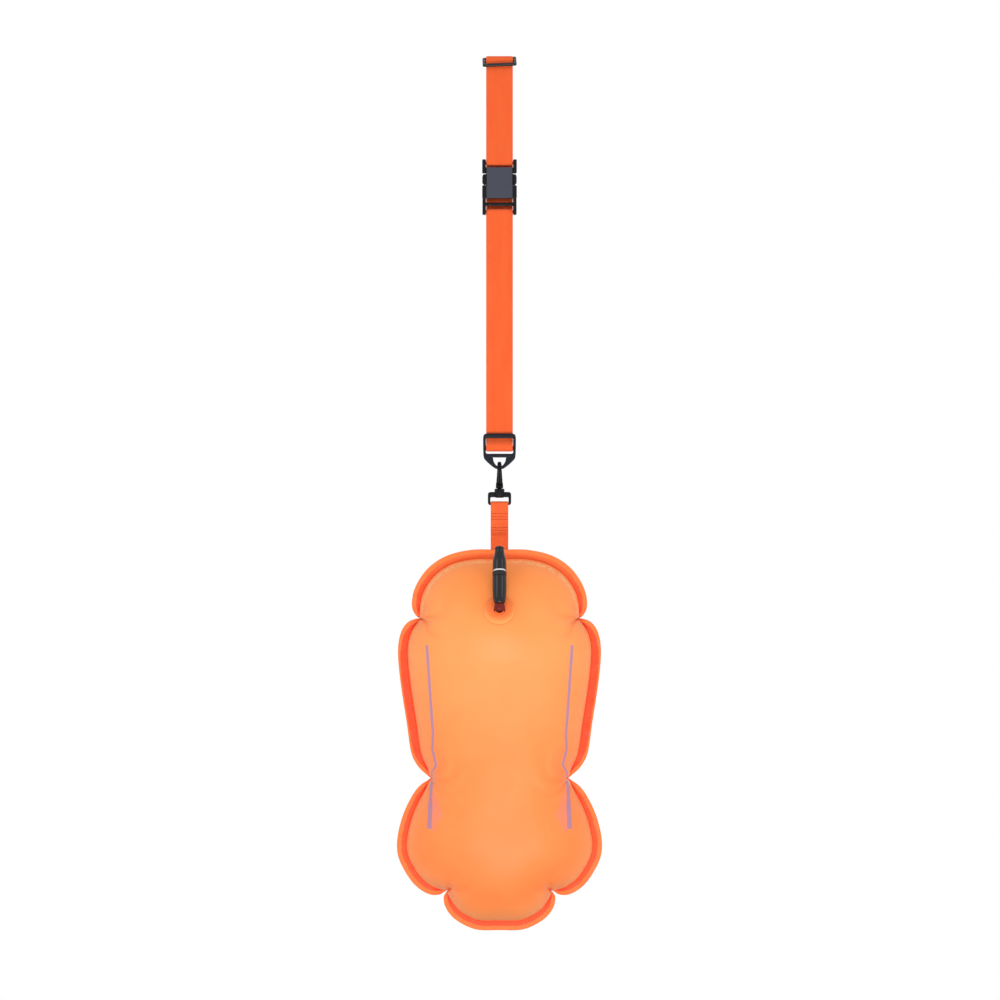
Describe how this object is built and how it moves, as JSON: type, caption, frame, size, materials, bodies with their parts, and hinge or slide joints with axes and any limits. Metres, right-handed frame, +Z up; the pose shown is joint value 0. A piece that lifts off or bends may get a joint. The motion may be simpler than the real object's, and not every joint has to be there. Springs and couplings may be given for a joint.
{
  "type": "open water swim buoy",
  "caption": "Inflatable tow float of two welded sheets with an oral valve, on a short leash and swivel snap hook, clipped to a waist belt with slider, side-release buckle and ring.",
  "frame": {"origin": "outer crown of the belt's top fold, from which the whole object hangs", "axes": "+Z up along the belt, -Y towards the viewer of the picture, +X to the viewer's right"},
  "size_m": [0.2844, 0.1608, 1.2156],
  "materials": {
    "webbing": "ribbed polyester webbing, orange",
    "leash_webbing": "ribbed polyester webbing, sewn double, orange",
    "slider_plastic": "moulded black acetal",
    "buckle_plastic": "moulded black acetal with a matte slate plate",
    "ring_plastic": "moulded dark navy acetal",
    "hook_metal": "black coated zinc",
    "pin_steel": "stainless steel wire",
    "base_plastic": "moulded black acetal",
    "chamber_sheet": "soft satin PVC sheet, orange",
    "neck_rubber": "dark red soft vinyl",
    "valve_plastic": "moulded black plastic",
    "band_plastic": "white plastic",
    "seal_rubber": "grey rubber"
  },
  "bodies": {
    "belt": {"belt_upper_front": "webbing", "belt_crown": "webbing", "belt_back": "webbing", "belt_ring_fold": "webbing", "belt_lower_front": "webbing", "buckle_female": "buckle_plastic", "buckle_male": "buckle_plastic"},
    "slider": {"belt_slider": "slider_plastic"},
    "prong_left": {"buckle_prong_left": "buckle_plastic"},
    "prong_right": {"buckle_prong_right": "buckle_plastic"},
    "ring": {"belt_ring": "ring_plastic"},
    "hook": {"hook_body": "hook_metal", "gate_pin": "pin_steel", "gate_spring": "pin_steel"},
    "gate": {"hook_gate": "hook_metal"},
    "swivel": {"swivel_base": "base_plastic"},
    "leash": {"leash_webbing": "leash_webbing"},
    "buoy": {"leash_tab": "leash_webbing", "leash_patch": "chamber_sheet", "front_panel": "chamber_sheet", "back_panel": "chamber_sheet", "valve_flange": "chamber_sheet"},
    "valve": {"valve_tube": "neck_rubber", "valve_barrel": "valve_plastic", "valve_band": "band_plastic", "valve_spring": "pin_steel"},
    "collar": {"lock_collar": "valve_plastic"},
    "mouth": {"mouthpiece": "valve_plastic", "valve_stem": "valve_plastic", "valve_seal": "seal_rubber"}
  },
  "joints": [
    {"name": "slider_slide", "type": "slide", "parent": "belt", "child": "slider", "axis": [0, 0, -1], "range_m": [0, 0.09]},
    {"name": "prong_left_pinch", "type": "hinge", "parent": "belt", "child": "prong_left", "pos_m": [-0.0125, -0.0063, -0.1651], "axis": [0, -1, 0], "range_deg": [0, 6.5], "stiffness_Nm_per_rad": 0.8},
    {"name": "prong_right_pinch", "type": "hinge", "parent": "belt", "child": "prong_right", "pos_m": [0.0125, -0.0063, -0.1651], "axis": [0, 1, 0], "range_deg": [0, 6.5], "stiffness_Nm_per_rad": 0.8},
    {"name": "ring_tip", "type": "hinge", "parent": "belt", "child": "ring", "pos_m": [0, 0, -0.5448], "axis": [1, 0, 0], "range_deg": [0, 35]},
    {"name": "hook_swing", "type": "hinge", "parent": "ring", "child": "hook", "pos_m": [0, 0, -0.5721], "axis": [1, 0, 0], "range_deg": [-40, 40]},
    {"name": "gate_press", "type": "hinge", "parent": "hook", "child": "gate", "pos_m": [0, -0.0094, -0.5981], "axis": [-1, 0, 0], "range_deg": [0, 25], "stiffness_Nm_per_rad": 0.3},
    {"name": "base_swivel", "type": "hinge", "parent": "hook", "child": "swivel", "pos_m": [0, 0, -0.6014], "axis": [0, 0, 1], "continuous": true},
    {"name": "leash_swing", "type": "hinge", "parent": "swivel", "child": "leash", "pos_m": [0, 0, -0.6225], "axis": [1, 0, 0], "range_deg": [-30, 30]},
    {"name": "buoy_fold", "type": "hinge", "parent": "leash", "child": "buoy", "pos_m": [0, 0.0018, -0.6845], "axis": [1, 0, 0], "range_deg": [-25, 25]},
    {"name": "valve_fold", "type": "hinge", "parent": "buoy", "child": "valve", "pos_m": [0, -0.07829, -0.76421], "axis": [1, 0, 0], "range_deg": [0, 78]},
    {"name": "collar_turn", "type": "hinge", "parent": "valve", "child": "collar", "pos_m": [0, -0.06358, -0.71894], "axis": [0, 0.309, 0.9511], "range_deg": [0, 180]},
    {"name": "mouthpiece_push", "type": "slide", "parent": "valve", "child": "mouth", "axis": [0, -0.309, -0.9511], "range_m": [0, 0.0022], "stiffness_N_per_m": 600, "springref_m": -0.001, "deforming": ["valve_spring"]}
  ]
}
